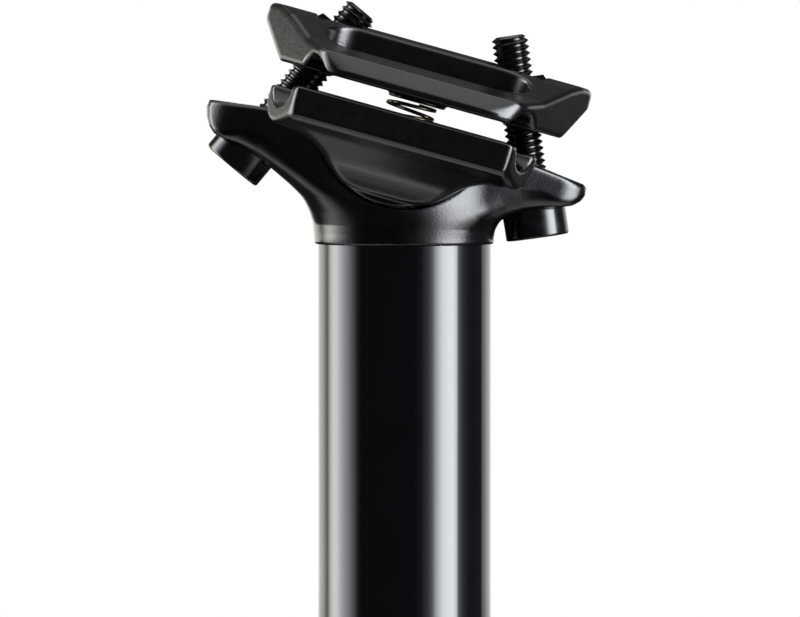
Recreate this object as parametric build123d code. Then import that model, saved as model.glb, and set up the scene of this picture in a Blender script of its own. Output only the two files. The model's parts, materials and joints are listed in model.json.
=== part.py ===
from build123d import *

import os
from math import atan2, cos, degrees, radians, sin, tan

# Telescopic suspension seatpost with a two-bolt saddle clamp.
#
# Frame: +Z up the post, +X towards the front of the bike, +Y to its left, origin on the post's
# axis at the bottom end of the post tube. All lengths are millimetres and all angles degrees.
#
# A stanchion with a forged crown slides in the post tube on two plastic bushes. A coil spring
# inside carries the rider, keys stop the stanchion turning, and a plug at the bottom sets the
# preload. On the crown a cradle rocks about a cross axis, and an upper clamp, drawn down by two
# inclined bolts and barrel nuts, holds the saddle rails.

# ---------------------------------------------------------------- driving dimensions
POST_R = 31.6 / 2           # post tube, a standard seatpost diameter
POST_WALL = 1.5
POST_SHANK = 242.0          # full-diameter length that goes into the frame
POST_TOP = 254.0            # end of the turned-down top, inside the collar
STANCHION_R = 27.2 / 2
STANCHION_WALL = 2.0
STANCHION_FOOT = 176.0
CROWN_FOOT = 331.0          # the crown's shoulder, where the stanchion disappears
TRAVEL = 60.0
PRELOAD_TRAVEL = 6.0

HEAD_Z = CROWN_FOOT + 19.0  # origin of the frame the crown is drawn in
PIVOT_Z = HEAD_Z + 0.5      # axis the saddle cradle rocks about, just under the rails
CROWN_TILT = 12.8           # the crown's arms slope down to the front by this much
CLAMP_TILT = 15.5           # the cradle and the upper clamp as they stand at rest
ROCKER_R = 13.5
CLAMP_FLOOR = 3.6           # underside of the upper clamp above the pivot, clamp frame
CLAMP_SHIFT = 1.13          # the loose upper clamp sits this far forward
CLAMP_CLOSE = 1.8           # travel until the clamp grips the rails
SWING = 13.0                # how far a bolt may swing each way in its barrel nut

RAIL_R = 3.5                # standard 7 mm saddle rail
RAIL_SPACING = 44.0
RAIL_W = 0.67               # rail centre above the pivot, clamp frame

BOLT_MAJOR_R = 2.93         # M6 x 1
BOLT_MINOR_R = 2.42
BOLT_PITCH = 1.0
BOLT_LENGTH = 26.0
BOLT_HEAD_R = 5.0
BOLT_HEAD_H = 6.0
BOLT_HEX = 5.0
BOLT_SEAT_U = 22.25         # underside of each bolt head in the crown's frame
BOLT_SEAT_W = -7.45
WASHER_H = 1.65
NUT_R = 5.0
NUT_U = 14.9                # nut centres either side of the upper clamp's middle
NUT_W = 8.42
NUT_FLAT = 2.6
NUT_HALF = 6.0

GAP = 0.03                  # running clearance
POST_BORE_R = POST_R - POST_WALL
STANCHION_BORE_R = STANCHION_R - STANCHION_WALL
CROWN = Location((0, 0, HEAD_Z), (0, CROWN_TILT, 0))
CLAMP = Location((0, 0, PIVOT_Z), (0, CLAMP_TILT, 0))

PARTS = {}


def save(name, shape):
    """Keeps a node for export."""
    PARTS[name] = shape


# ---------------------------------------------------------------- shape helpers
def rod(radius, low, high):
    """A solid cylinder about Z."""
    return Pos(0, 0, low) * Cylinder(radius, high - low, align=(Align.CENTER, Align.CENTER, Align.MIN))


def ring(outer, inner, low, high):
    """A tube about Z."""
    return rod(outer, low, high) - rod(inner, low - 1, high + 1)


def turned(points):
    """A solid of revolution about Z from (radius, height) points."""
    outline = make_face(Plane.XZ * Polyline(*points, close=True))
    return revolve(outline, Axis.Z)


def cross_rod(radius, half, u, w):
    """A cylinder along Y, centred on Y = 0, at (u, w) of the frame it is drawn in."""
    return Pos(u, 0, w) * Rot(90, 0, 0) * Cylinder(radius, 2 * half)


def rail_rod(radius, half, v, w):
    """A cylinder along X at (v, w)."""
    return Pos(0, v, w) * Rot(0, 90, 0) * Cylinder(radius, 2 * half)


def side_slab(outline, half):
    """A closed outline in the XZ plane made into a slab of this half width in Y."""
    return extrude(make_face(Plane.XZ * outline), half, both=True)


def both_sides(shape):
    """A shape and its mirror image across the XZ plane."""
    return shape + mirror(shape, Plane.XZ)


def helix_wire(mean_r, wire_r, low, high, turns):
    """A coil of round wire about Z between two heights of its centre line."""
    path = Helix(pitch=(high - low) / turns, height=high - low, radius=mean_r)
    start = Plane(path @ 0, z_dir=path % 0)
    return Pos(0, 0, low) * sweep(start * Circle(wire_r), path, is_frenet=True)


# ---------------------------------------------------------------- clamp geometry
def crown_point(u, w):
    """Crown frame (u forward, w up) to post frame (x, z)."""
    a = radians(CROWN_TILT)
    return u * cos(a) + w * sin(a), HEAD_Z - u * sin(a) + w * cos(a)


def clamp_point(u, w):
    """Clamp frame (u forward, w up, from the pivot) to post frame (x, z)."""
    a = radians(CLAMP_TILT)
    return u * cos(a) + w * sin(a), PIVOT_Z - u * sin(a) + w * cos(a)


def bolt_frame(side):
    """Location with its origin under the bolt's head and +Z along the bolt; side is 1 front, -1 rear."""
    seat = crown_point(side * BOLT_SEAT_U, BOLT_SEAT_W)
    nut = clamp_point(CLAMP_SHIFT + side * NUT_U, NUT_W)
    lean = degrees(atan2(nut[0] - seat[0], nut[1] - seat[1]))
    return Location((seat[0], 0, seat[1]), (0, lean, 0)), lean, nut


# ---------------------------------------------------------------- post tube and its top
KEY_COUNT = 3
KEY_W = 3.0
KEY_LOW = STANCHION_FOOT + 6.0
KEY_LENGTH = 20.0
KEYWAY_R = POST_BORE_R + 0.7
KEYWAY_LOW = KEY_LOW - TRAVEL - 12
COLLAR_R = 17.6
COLLAR_TOP = 262.0
THREAD_TOP_R = 15.2
FOAM_TOP = POST_TOP + 2.6
WIPER_LOW = FOAM_TOP + 1.0
WIPER_POCKET_R = 15.8


def post_tube():
    tube = ring(POST_R, POST_BORE_R, 0, POST_TOP)
    tube -= ring(POST_R + 1, THREAD_TOP_R, POST_SHANK, POST_TOP + 1)
    keyway = Pos(KEYWAY_R / 2, 0, KEYWAY_LOW) * Box(
        KEYWAY_R, KEY_W, POST_TOP, align=(Align.CENTER, Align.CENTER, Align.MIN))
    for i in range(KEY_COUNT):
        tube -= Rot(0, 0, i * 360 / KEY_COUNT) * keyway
    circles = tube.edges().filter_by(GeomType.CIRCLE)
    rim = [e for e in circles if abs(e.center().Z) < 0.01 and e.radius < POST_R - 1]
    return chamfer(rim, 0.5)


def retaining_collar():
    grip = 1.2
    body = turned([
        (THREAD_TOP_R + GAP, POST_SHANK), (COLLAR_R - 0.8, POST_SHANK), (COLLAR_R, POST_SHANK + 0.8),
        (COLLAR_R, COLLAR_TOP - 3.0), (COLLAR_R - 1.2, COLLAR_TOP), (WIPER_POCKET_R, COLLAR_TOP),
        (WIPER_POCKET_R, WIPER_LOW), (STANCHION_R + 0.35, WIPER_LOW), (STANCHION_R + 0.35, FOAM_TOP),
        (THREAD_TOP_R + GAP, FOAM_TOP)])
    flute = Pos(COLLAR_R + grip * 0.55, 0, POST_SHANK + 9) * Cylinder(grip, 9.0)
    for i in range(24):
        body -= Rot(0, 0, i * 15) * flute
    return body


def wiper_seal():
    lip = STANCHION_R + GAP
    return turned([
        (WIPER_POCKET_R - GAP, WIPER_LOW + GAP), (WIPER_POCKET_R - GAP, COLLAR_TOP),
        (WIPER_POCKET_R - 0.7, COLLAR_TOP + 0.9), (lip + 0.9, COLLAR_TOP + 1.2),
        (lip + 0.2, COLLAR_TOP + 2.0), (lip, COLLAR_TOP + 1.8), (lip, COLLAR_TOP + 1.0),
        (lip + 0.7, COLLAR_TOP - 0.6),
        (lip + 0.7, WIPER_LOW + 1.6), (lip, WIPER_LOW + 1.1), (lip + 0.1, WIPER_LOW + GAP)])


def foam_ring():
    return ring(THREAD_TOP_R - 0.1, STANCHION_R + GAP, POST_TOP + GAP, FOAM_TOP - GAP)


BUSH_LOW = 214.0


def guide_bush():
    return ring(POST_BORE_R - 0.01, STANCHION_R + GAP, BUSH_LOW, POST_TOP - 0.05)


# ---------------------------------------------------------------- stanchion and what rides on it
SPIGOT_LOW = 305.0
SEAT_LOW = 215.0
SEAT_TOP = 221.0
CLIP_H = 1.1


def key_box(inner, outer, width, low, high):
    """Blocks for the keys, one every third of a turn."""
    block = Pos((inner + outer) / 2, 0, (low + high) / 2) * Box(outer - inner, width, high - low)
    return [Rot(0, 0, i * 360 / KEY_COUNT) * block for i in range(KEY_COUNT)]


def stanchion():
    tube = ring(STANCHION_R, STANCHION_BORE_R, STANCHION_FOOT, CROWN_FOOT)
    for pocket in key_box(STANCHION_R - 1.0, STANCHION_R + 1, KEY_W, KEY_LOW, KEY_LOW + KEY_LENGTH + 0.2):
        tube -= pocket
    tube -= ring(STANCHION_R + 1, STANCHION_R - 0.6, STANCHION_FOOT + 1.4, STANCHION_FOOT + 2.6)
    tube -= ring(STANCHION_BORE_R + 0.6, STANCHION_BORE_R - 1, SEAT_TOP + 0.05, SEAT_TOP + 1.25)
    return tube


def guide_keys():
    low = KEY_LOW + 0.1
    return Compound(key_box(STANCHION_R - 1.0 + GAP, KEYWAY_R - 0.05, KEY_W - 0.1, low, low + KEY_LENGTH))


SLIDER_LOW = STANCHION_FOOT + 2.7
SLIDER_TOP = 206.0


def slider_bush():
    bush = ring(POST_BORE_R - 0.04, STANCHION_R + 0.02, SLIDER_LOW, SLIDER_TOP)
    for window in key_box(STANCHION_R - 1, POST_R, KEY_W, KEY_LOW, KEY_LOW + KEY_LENGTH + 0.2):
        bush -= window
    return bush


def split_ring(outer, inner, low, high, gap):
    """A snap ring: a flat ring with a gap in it."""
    opening = Pos(outer, 0, (low + high) / 2) * Box(2 * outer, gap, 4 * (high - low))
    return ring(outer, inner, low, high) - opening


def slider_circlip():
    return split_ring(POST_BORE_R - 0.3, STANCHION_R - 0.55, STANCHION_FOOT + 1.45, SLIDER_LOW - 0.15, 5)


def seat_circlip():
    low = SEAT_TOP + 0.08
    return split_ring(STANCHION_BORE_R + 0.5, STANCHION_BORE_R - 1.4, low, low + CLIP_H, 8)


def top_out_bumper():
    return ring(POST_BORE_R - 0.1, STANCHION_R + 0.05, SLIDER_TOP + GAP, BUSH_LOW - GAP)


# ---------------------------------------------------------------- spring and preload
PLUG_LOW = 2.0
PLUG_TOP = 12.0
PLUG_HEX = 8.0
PLUG_PITCH = 1.5
LOWER_SEAT_TOP = PLUG_TOP + 5.0
SPRING_WIRE_R = 1.75
SPRING_MEAN_R = 8.75
SPRING_TURNS = 24
ROD_R = 6.2
ROD_TOP = 112.0
BUMPER_TOP = SEAT_LOW - 8 - TRAVEL - PRELOAD_TRAVEL - 1


def preload_plug():
    outer = POST_BORE_R - GAP
    root = outer - 0.8
    points = [(0, PLUG_LOW), (root, PLUG_LOW)]
    z = PLUG_LOW + 0.4
    while z + PLUG_PITCH < PLUG_TOP:
        points += [(root, z), (outer, z + 0.55), (outer, z + 0.75), (root, z + 1.3)]
        z += PLUG_PITCH
    points += [(root, PLUG_TOP), (0, PLUG_TOP)]
    socket = extrude(Plane.XY.offset(PLUG_LOW - 1) * RegularPolygon(PLUG_HEX / 2, 6, major_radius=False), 8.0)
    return turned(points) - socket


def lower_spring_seat():
    low = PLUG_TOP + GAP
    return turned([
        (2.5, low), (POST_BORE_R - 0.2, low), (POST_BORE_R - 0.2, LOWER_SEAT_TOP), (ROD_R, LOWER_SEAT_TOP),
        (ROD_R, LOWER_SEAT_TOP + 5), (2.5, LOWER_SEAT_TOP + 5)])


def guide_rod():
    low = LOWER_SEAT_TOP + 5 + GAP
    return turned([(2.5, low), (ROD_R, low), (ROD_R, ROD_TOP - 1), (ROD_R - 1, ROD_TOP), (2.5, ROD_TOP)])


def bottom_out_bumper():
    """A waisted elastomer rod, one waist every 7 mm."""
    low = ROD_TOP + GAP
    points = [(0, low), (ROD_R - 0.4, low)]
    waist = (BUMPER_TOP - low) / 4
    for i in range(4):
        z = low + i * waist
        points += [(ROD_R - 0.4, z + 1.5), (ROD_R - 1.4, z + waist / 2), (ROD_R - 0.4, z + waist - 1.5)]
    points += [(ROD_R - 0.4, BUMPER_TOP - 1), (ROD_R - 1.4, BUMPER_TOP), (0, BUMPER_TOP)]
    return turned(points)


def upper_spring_seat():
    return turned([
        (2.5, SEAT_LOW - 8), (4.5, SEAT_LOW - 8), (5.6, SEAT_LOW - 6.5), (5.6, SEAT_LOW),
        (STANCHION_BORE_R - 0.1, SEAT_LOW), (STANCHION_BORE_R - 0.1, SEAT_TOP), (2.5, SEAT_TOP)])


def main_spring():
    low = LOWER_SEAT_TOP + SPRING_WIRE_R + GAP
    high = SEAT_LOW - SPRING_WIRE_R - GAP
    return helix_wire(SPRING_MEAN_R, SPRING_WIRE_R, low, high, SPRING_TURNS)


# ---------------------------------------------------------------- crown
NECK_R = 13.85
ARM_HALF = 8.0
ARM_REACH = 22.2            # centre of the round end of each arm
ARM_TOP = [(12.0, -1.9), (21.3, -2.15), (29.6, -3.2)]
ARM_TIP = (30.4, -4.8)
ARM_UNDER = [(28.2, -7.9), (24.6, -8.8), (18.9, -11.4)]
FRONT_BLEND = [(-0.95, -0.30), (0.0, -1.0)]
REAR_BLEND = [(0.0, 1.0), (-0.76, 0.65)]
SLOT_R = 3.3
SLOT_IN = 1.8               # the bolt swings this far inwards in its slot, and
SLOT_OUT = 0.8              # this far outwards
POCKET_R = 5.5


def crown_outline():
    """The crown seen from the side, in the post frame."""
    top = [crown_point(u, w) for u, w in ARM_TOP]
    back = [crown_point(-u, w) for u, w in ARM_TOP]
    under = [crown_point(u, w) for u, w in ARM_UNDER]
    back_under = [crown_point(-u, w) for u, w in ARM_UNDER]
    front_neck, rear_neck = (NECK_R, CROWN_FOOT), (-NECK_R, CROWN_FOOT)
    return (Line(back[0], top[0]) + Polyline(*top)
            + ThreePointArc(top[-1], crown_point(*ARM_TIP), under[0]) + Polyline(*under)
            + Spline(under[-1], front_neck, tangents=FRONT_BLEND) + Line(front_neck, rear_neck)
            + Spline(rear_neck, back_under[-1], tangents=REAR_BLEND) + Polyline(*reversed(back_under))
            + ThreePointArc(back_under[0], crown_point(-ARM_TIP[0], ARM_TIP[1]), back[-1])
            + Polyline(*reversed(back)))


def crown_plan():
    """The crown seen from above: the neck drawn out into two round-ended arms."""
    circles = [Circle(NECK_R), Pos(ARM_REACH, 0) * Circle(ARM_HALF), Pos(-ARM_REACH, 0) * Circle(ARM_HALF)]
    return make_hull([edge for circle in circles for edge in circle.edges()])


def slot_prism(radius, low, high, side):
    """An oblong prism along a bolt, longer towards the post's axis."""
    middle = (SLOT_OUT - SLOT_IN) / 2 * side
    return Pos(middle, 0, low) * extrude(SlotCenterToCenter(SLOT_IN + SLOT_OUT, 2 * radius), high - low)


def bolt_slot(side):
    """The oblong hole through a crown arm and the pocket for the bolt's head."""
    seat = WASHER_H + GAP
    cut = slot_prism(SLOT_R, -1, 14, side) + slot_prism(POCKET_R, -14, seat, side)
    return bolt_frame(side)[0] * cut


def crown_flare():
    """The round foot of the crown, opening out like a trumpet to let the arms grow from it."""
    rim = [(NECK_R, 0), (14.0, 1.8), (14.6, 2.8), (16.0, 3.7), (19.0, 4.6), (26.0, 5.6), (40.0, 6.2),
           (40.0, 45)]
    return turned([(0, CROWN_FOOT)] + [(r, CROWN_FOOT + z) for r, z in rim] + [(0, CROWN_FOOT + 45)])


def crown():
    slab = side_slab(crown_outline(), 20)
    arms = slab & CROWN * Pos(0, 0, -40) * extrude(crown_plan(), 60)
    body = (arms & crown_flare()) + (slab & rod(NECK_R, CROWN_FOOT, PIVOT_Z))
    body -= Pos(0, 0, PIVOT_Z) * cross_rod(ROCKER_R + 0.06, 30, 0, 0)
    for side in (1, -1):
        body -= bolt_slot(side)
    return body + rod(STANCHION_BORE_R - 0.02, SPIGOT_LOW, CROWN_FOOT + 0.5)


# ---------------------------------------------------------------- cradle
CRADLE_HALF = 27.5          # half width over both rail bars
CRADLE_END = 17.0           # half length at the outer lip
END_SLOPE = 0.41            # both clamp halves end in a shallow V in plan, the upper one a little sharper
BAR_IN = 16.9
BAR_LOW = -6.1
OUTER_LIP = 0.75
INNER_LIP = -0.2
ROCKER_HALF = 14.3
VALLEY_W = -2.2
LOBE_HALF_ANGLE = 46.0
SPRING_POCKET_R = 4.9
SPRING_FLOOR_W = -4.2


def plan_prism(end, tip_half, slope, low, high):
    """A prism whose plan narrows from the rails' outer sides to a blunt point front and rear."""
    tip = end + (CRADLE_HALF - tip_half) * slope
    quarter = [(tip, tip_half), (end, CRADLE_HALF)]
    points = quarter + [(-u, v) for u, v in reversed(quarter)]
    points += [(-u, -v) for u, v in points]
    return Pos(0, 0, low) * extrude(make_face(Polyline(*points, close=True)), high - low)


def lobe_outline():
    """Side view of the cradle: a bar whose underside swells into the round rocker lobe."""
    a = radians(LOBE_HALF_ANGLE)
    u, w = ROCKER_R * sin(a), -ROCKER_R * cos(a)
    return (Polyline((-15.2, BAR_LOW), (-26, BAR_LOW), (-26, 3), (26, 3), (26, BAR_LOW), (15.2, BAR_LOW))
            + Spline((15.2, BAR_LOW), (u, w), tangents=[(-1, 0), (-cos(a), -sin(a))])
            + ThreePointArc((u, w), (0, -ROCKER_R), (-u, w))
            + Spline((-u, w), (-15.2, BAR_LOW), tangents=[(-cos(a), sin(a)), (-1, 0)]))


def cradle_section():
    """Half the cradle seen from the front: rail bar outside, hull-shaped flank running in to the lobe."""
    return make_face(Plane.YZ * Polyline(
        (ROCKER_HALF - 0.1, INNER_LIP), (ROCKER_HALF - 0.1, -14), (15.6, -14), (16.6, -11.5), (20.0, -7.8),
        (24.8, -5.0), (26.9, -4.0), (CRADLE_HALF, -3.3), (CRADLE_HALF, OUTER_LIP - 0.4),
        (CRADLE_HALF - 0.4, OUTER_LIP), (22, OUTER_LIP), (22, INNER_LIP), close=True))


def lower_cradle():
    flank = extrude(cradle_section(), 30, both=True) & side_slab(lobe_outline(), 40)
    flank &= plan_prism(CRADLE_END, 2.0, END_SLOPE, -20, 5)
    flank -= Box(80, 2 * BAR_IN, 60) - Box(28.5, 2 * BAR_IN + 1, 61)
    rocker = cross_rod(ROCKER_R, ROCKER_HALF, 0, 0) - Pos(0, 0, 20 + VALLEY_W) * Box(60, 60, 40)
    body = both_sides(flank) + rocker
    groove = rail_rod(RAIL_R, 30, RAIL_SPACING / 2, RAIL_W)
    groove += Pos(0, RAIL_SPACING / 2, RAIL_W + 5) * Box(60, 2 * RAIL_R, 10)
    body -= both_sides(groove)
    body -= rod(SPRING_POCKET_R, SPRING_FLOOR_W, 5)
    return CLAMP * body


# ---------------------------------------------------------------- upper clamp
CLAMP_TOP = 12.3
CLAMP_EDGE_TOP = 7.2        # outer edge of the roof, lower than the spine
UPPER_END = 14.6
UPPER_SLOPE = 0.435
SPINE_HALF = 4.5
TIP_UNDERCUT_W = 10.0
WINDOW_IN = 7.4
WINDOW_OUT = 17.5
WINDOW_LENGTH = 32.4
UPPER_GROOVE_W = RAIL_W + CLAMP_CLOSE
BOSS_R = 4.6
BOSS_W = 3.0


def upper_clamp_section():
    """The upper clamp seen from the front: a low roof over both rails."""
    edge = CRADLE_HALF
    half = [(SPINE_HALF, CLAMP_TOP), (edge - 2.4, CLAMP_EDGE_TOP), (edge - 0.6, CLAMP_EDGE_TOP - 2.1),
            (edge, CLAMP_EDGE_TOP - 2.5), (edge, CLAMP_FLOOR)]
    return Polyline(*half, *[(-v, w) for v, w in reversed(half)], close=True)


def upper_clamp():
    tip = UPPER_END + (CRADLE_HALF - 1.2) * UPPER_SLOPE
    side = [(tip - 1.0, CLAMP_TOP), (tip, CLAMP_TOP - 1.0), (tip, TIP_UNDERCUT_W), (tip - 3.5, CLAMP_FLOOR)]
    body = plan_prism(UPPER_END, 1.2, UPPER_SLOPE, 0, 20) & side_slab(
        Polyline(*side, *[(-u, w) for u, w in reversed(side)], close=True), 30)
    body &= extrude(make_face(Plane.YZ * upper_clamp_section()), 40, both=True)
    body -= both_sides(rail_rod(RAIL_R, 40, RAIL_SPACING / 2, UPPER_GROOVE_W))
    window = SlotOverall(WINDOW_LENGTH, WINDOW_OUT - WINDOW_IN)
    body -= both_sides(Pos(0, (WINDOW_OUT + WINDOW_IN) / 2, 0) * extrude(window, 20))
    body += rod(BOSS_R, BOSS_W, CLAMP_FLOOR + 1)
    body = Pos(CLAMP_SHIFT, 0, 0) * body
    for end in (1, -1):
        body -= nut_space(end)
    return CLAMP * body


def nut_space(side):
    """The cross bore a barrel nut turns in, and the bow-tie room its bolt swings in."""
    lean = bolt_frame(side)[1] - CLAMP_TILT
    reach = 14.0
    wide = SLOT_R + reach * tan(radians(SWING))
    fan = [(-SLOT_R, 0), (-wide, reach), (wide, reach), (SLOT_R, 0), (wide, -reach), (-wide, -reach)]
    swing = Rot(0, lean, 0) * side_slab(Polyline(*fan, close=True), SLOT_R)
    return Pos(CLAMP_SHIFT + side * NUT_U, 0, NUT_W) * (cross_rod(NUT_R + 0.04, NUT_HALF + 0.3, 0, 0) + swing)


def clamp_spring():
    wire = 0.3
    return CLAMP * Pos(CLAMP_SHIFT / 2, 0, 0) * helix_wire(
        3.9, wire, SPRING_FLOOR_W + wire + GAP, BOSS_W - wire - GAP, 4.5)


# ---------------------------------------------------------------- bolts, washers and nuts
def clamp_bolt(side):
    """Socket head screw with ring grooves for its thread."""
    points = [(0, 0), (BOLT_HEAD_R - 0.3, 0), (BOLT_HEAD_R, -0.3), (BOLT_HEAD_R, -BOLT_HEAD_H + 0.8),
              (BOLT_HEAD_R - 0.8, -BOLT_HEAD_H), (0, -BOLT_HEAD_H)]
    head = turned(points)
    thread = [(0, -0.5), (BOLT_MINOR_R, -0.5)]
    z = 0.5
    while z + BOLT_PITCH < BOLT_LENGTH - 0.2:
        thread += [(BOLT_MINOR_R, z), (BOLT_MAJOR_R, z + 0.42), (BOLT_MAJOR_R, z + 0.54),
                   (BOLT_MINOR_R, z + 0.96)]
        z += BOLT_PITCH
    thread += [(BOLT_MINOR_R, BOLT_LENGTH - 0.4), (BOLT_MINOR_R - 0.4, BOLT_LENGTH), (0, BOLT_LENGTH)]
    hexagon = RegularPolygon(BOLT_HEX / 2, 6, major_radius=False)
    socket = Pos(0, 0, -BOLT_HEAD_H - 1) * extrude(hexagon, 4.5)
    return bolt_frame(side)[0] * (head + turned(thread) - socket)


def clamp_washer(side):
    outer, inner = BOLT_HEAD_R + 0.15, BOLT_MAJOR_R + 0.2
    return bolt_frame(side)[0] * ring(outer, inner, 0.01, WASHER_H)


def barrel_nut(side):
    place, lean, nut = bolt_frame(side)
    centre = Location((nut[0], 0, nut[1]), (0, lean, 0))
    barrel = cross_rod(NUT_R, NUT_HALF, 0, 0) - Pos(0, 0, NUT_FLAT + 5) * Box(20, 20, 10)
    return centre * (barrel - rod(BOLT_MAJOR_R + 0.05, -10, 10))


# ---------------------------------------------------------------- build and export
def build():
    save("post_tube", post_tube())
    save("retaining_collar", retaining_collar())
    save("wiper_seal", wiper_seal())
    save("foam_ring", foam_ring())
    save("guide_bush", guide_bush())
    save("stanchion", stanchion())
    save("guide_keys", guide_keys())
    save("slider_bush", slider_bush())
    save("slider_circlip", slider_circlip())
    save("top_out_bumper", top_out_bumper())
    save("upper_spring_seat", upper_spring_seat())
    save("seat_circlip", seat_circlip())
    save("main_spring", main_spring())
    save("lower_spring_seat", lower_spring_seat())
    save("guide_rod", guide_rod())
    save("bottom_out_bumper", bottom_out_bumper())
    save("preload_plug", preload_plug())
    save("crown", crown())
    save("lower_cradle", lower_cradle())
    save("upper_clamp", upper_clamp())
    save("clamp_spring", clamp_spring())
    for name, side in (("front", 1), ("rear", -1)):
        save(f"{name}_clamp_bolt", clamp_bolt(side))
        save(f"{name}_washer", clamp_washer(side))
        save(f"{name}_barrel_nut", barrel_nut(side))


build()
os.makedirs("parts", exist_ok=True)
for part_name, part_shape in PARTS.items():
    export_step(part_shape, f"parts/{part_name}.step")
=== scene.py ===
import json
import math

import bmesh
import bpy
import numpy as np
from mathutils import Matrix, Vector


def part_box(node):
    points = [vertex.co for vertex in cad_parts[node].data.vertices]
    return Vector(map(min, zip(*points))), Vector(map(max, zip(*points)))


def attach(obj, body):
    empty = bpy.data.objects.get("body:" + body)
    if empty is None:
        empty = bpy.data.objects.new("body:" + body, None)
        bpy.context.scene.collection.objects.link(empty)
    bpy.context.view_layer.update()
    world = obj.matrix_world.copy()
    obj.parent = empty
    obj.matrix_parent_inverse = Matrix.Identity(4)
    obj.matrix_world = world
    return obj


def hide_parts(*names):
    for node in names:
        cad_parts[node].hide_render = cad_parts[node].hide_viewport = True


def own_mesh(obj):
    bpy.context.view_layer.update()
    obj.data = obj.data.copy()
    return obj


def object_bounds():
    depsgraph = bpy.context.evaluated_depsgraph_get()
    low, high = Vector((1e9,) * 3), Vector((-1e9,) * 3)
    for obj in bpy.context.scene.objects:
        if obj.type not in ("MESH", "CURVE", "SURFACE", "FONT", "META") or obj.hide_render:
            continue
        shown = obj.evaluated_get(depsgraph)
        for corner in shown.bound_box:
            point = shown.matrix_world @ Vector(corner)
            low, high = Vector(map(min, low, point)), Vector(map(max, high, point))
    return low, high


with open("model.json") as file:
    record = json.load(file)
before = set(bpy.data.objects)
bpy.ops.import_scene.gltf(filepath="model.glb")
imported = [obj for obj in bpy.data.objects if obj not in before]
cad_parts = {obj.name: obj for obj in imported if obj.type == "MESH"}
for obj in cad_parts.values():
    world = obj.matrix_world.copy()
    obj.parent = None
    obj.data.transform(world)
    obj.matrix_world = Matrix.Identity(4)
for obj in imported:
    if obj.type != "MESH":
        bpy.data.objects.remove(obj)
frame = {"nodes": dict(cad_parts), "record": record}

CAD_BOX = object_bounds()
RECORD = frame["record"]
JOINTS = {j["name"]: j for j in RECORD["behaviour"]["joints"]}
MM = 0.001

PIVOT = np.array(JOINTS["saddle_tilt"]["pos_m"]) / MM
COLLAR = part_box("stanchion")[1].z / MM - PIVOT[2]       # the crown's foot, from the pivot
CLAMP_TRAVEL = -JOINTS["clamp_press"]["range_m"][0] / MM
CLAMP_UP = np.array(JOINTS["clamp_press"]["axis"])
CLAMP_TILT = math.degrees(math.atan2(CLAMP_UP[0], CLAMP_UP[2]))
CROWN_TILT = 12.8                                       # lean of the line between the crown's arms

RAIL = next(m for m in RECORD["mounts"] if m["name"] == "left_rail")
RAIL_R = RAIL["dims"]["r_mm"]
RAIL_V = RAIL["pos_m"][1] / MM
RAIL_W = float((np.array(RAIL["pos_m"]) / MM - PIVOT) @ CLAMP_UP)
SPRING_FLOOR = -4.2                                     # bottom of the clamp spring's pocket, from the pivot


# ------------------------------------------------------------------ distance fields
def smin(a, b, k):
    """Union of two fields with a fillet of about k."""
    h = np.maximum(k - np.abs(a - b), 0.0) / k
    return np.minimum(a, b) - h * h * k * 0.25


def smax(a, b, k):
    """Intersection of two fields with a round of about k."""
    return -smin(-a, -b, k)


def smooth(lo, hi, x):
    """0 below lo, 1 above hi and an S curve between."""
    t = np.clip((x - lo) / (hi - lo), 0, 1)
    return t * t * (3 - 2 * t)


def turn(x, z, degrees):
    """Coordinates in a frame leaning this far forward about the cross axis."""
    a = math.radians(degrees)
    return x * math.cos(a) - z * math.sin(a), x * math.sin(a) + z * math.cos(a)


def polygon(x, y, points):
    """Signed distance to a closed polygon, negative inside."""
    x, y = np.broadcast_arrays(x, y)
    best = np.full(x.shape, 1e9)
    inside = np.zeros(x.shape, bool)
    for (ax, ay), (bx, by) in zip(points, points[1:] + points[:1]):
        ex, ey = bx - ax, by - ay
        wx, wy = x - ax, y - ay
        t = np.clip((wx * ex + wy * ey) / max(ex * ex + ey * ey, 1e-12), 0, 1)
        best = np.minimum(best, (wx - t * ex) ** 2 + (wy - t * ey) ** 2)
        if abs(ey) > 1e-12:
            inside ^= ((ay <= y) != (by <= y)) & (x < ax + wy * ex / ey)
    return np.where(inside, -1.0, 1.0) * np.sqrt(best)


def rounded(corners, steps=6):
    """A polygon from (x, y, radius) corners, each replaced by an arc."""
    out = []
    n = len(corners)
    for i in range(n):
        x, y, r = corners[i]
        here = np.array((x, y))
        if r <= 0:
            out.append((x, y))
            continue
        a = np.array(corners[i - 1][:2]) - here
        b = np.array(corners[(i + 1) % n][:2]) - here
        la, lb = np.linalg.norm(a), np.linalg.norm(b)
        a, b = a / la, b / lb
        half = math.acos(np.clip(a @ b, -1, 1)) / 2
        back = min(r / math.tan(half), 0.49 * la, 0.49 * lb)
        r = back * math.tan(half)
        centre = here + (a + b) / np.linalg.norm(a + b) * r / math.sin(half)
        p, q = here + a * back - centre, here + b * back - centre
        sweep = math.atan2(p[0] * q[1] - p[1] * q[0], p @ q)
        for k in range(steps + 1):
            t = sweep * k / steps
            c, s = math.cos(t), math.sin(t)
            out.append(tuple(centre + (p[0] * c - p[1] * s, p[0] * s + p[1] * c)))
    return out


def bezier(p0, d0, p1, d1, steps=10):
    """Points on a cubic from p0 to p1 with these end tangents."""
    p0, d0, p1, d1 = map(np.array, (p0, d0, p1, d1))
    out = []
    for i in range(1, steps):
        t = i / steps
        h = (2 * t ** 3 - 3 * t ** 2 + 1, t ** 3 - 2 * t ** 2 + t, -2 * t ** 3 + 3 * t ** 2, t ** 3 - t ** 2)
        out.append(tuple(h[0] * p0 + h[1] * d0 + h[2] * p1 + h[3] * d1))
    return out


def slot(u, v, half, radius):
    """Distance to an oblong with round ends, long in u."""
    return np.hypot(np.maximum(np.abs(u) - half, 0), v) - radius


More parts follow.
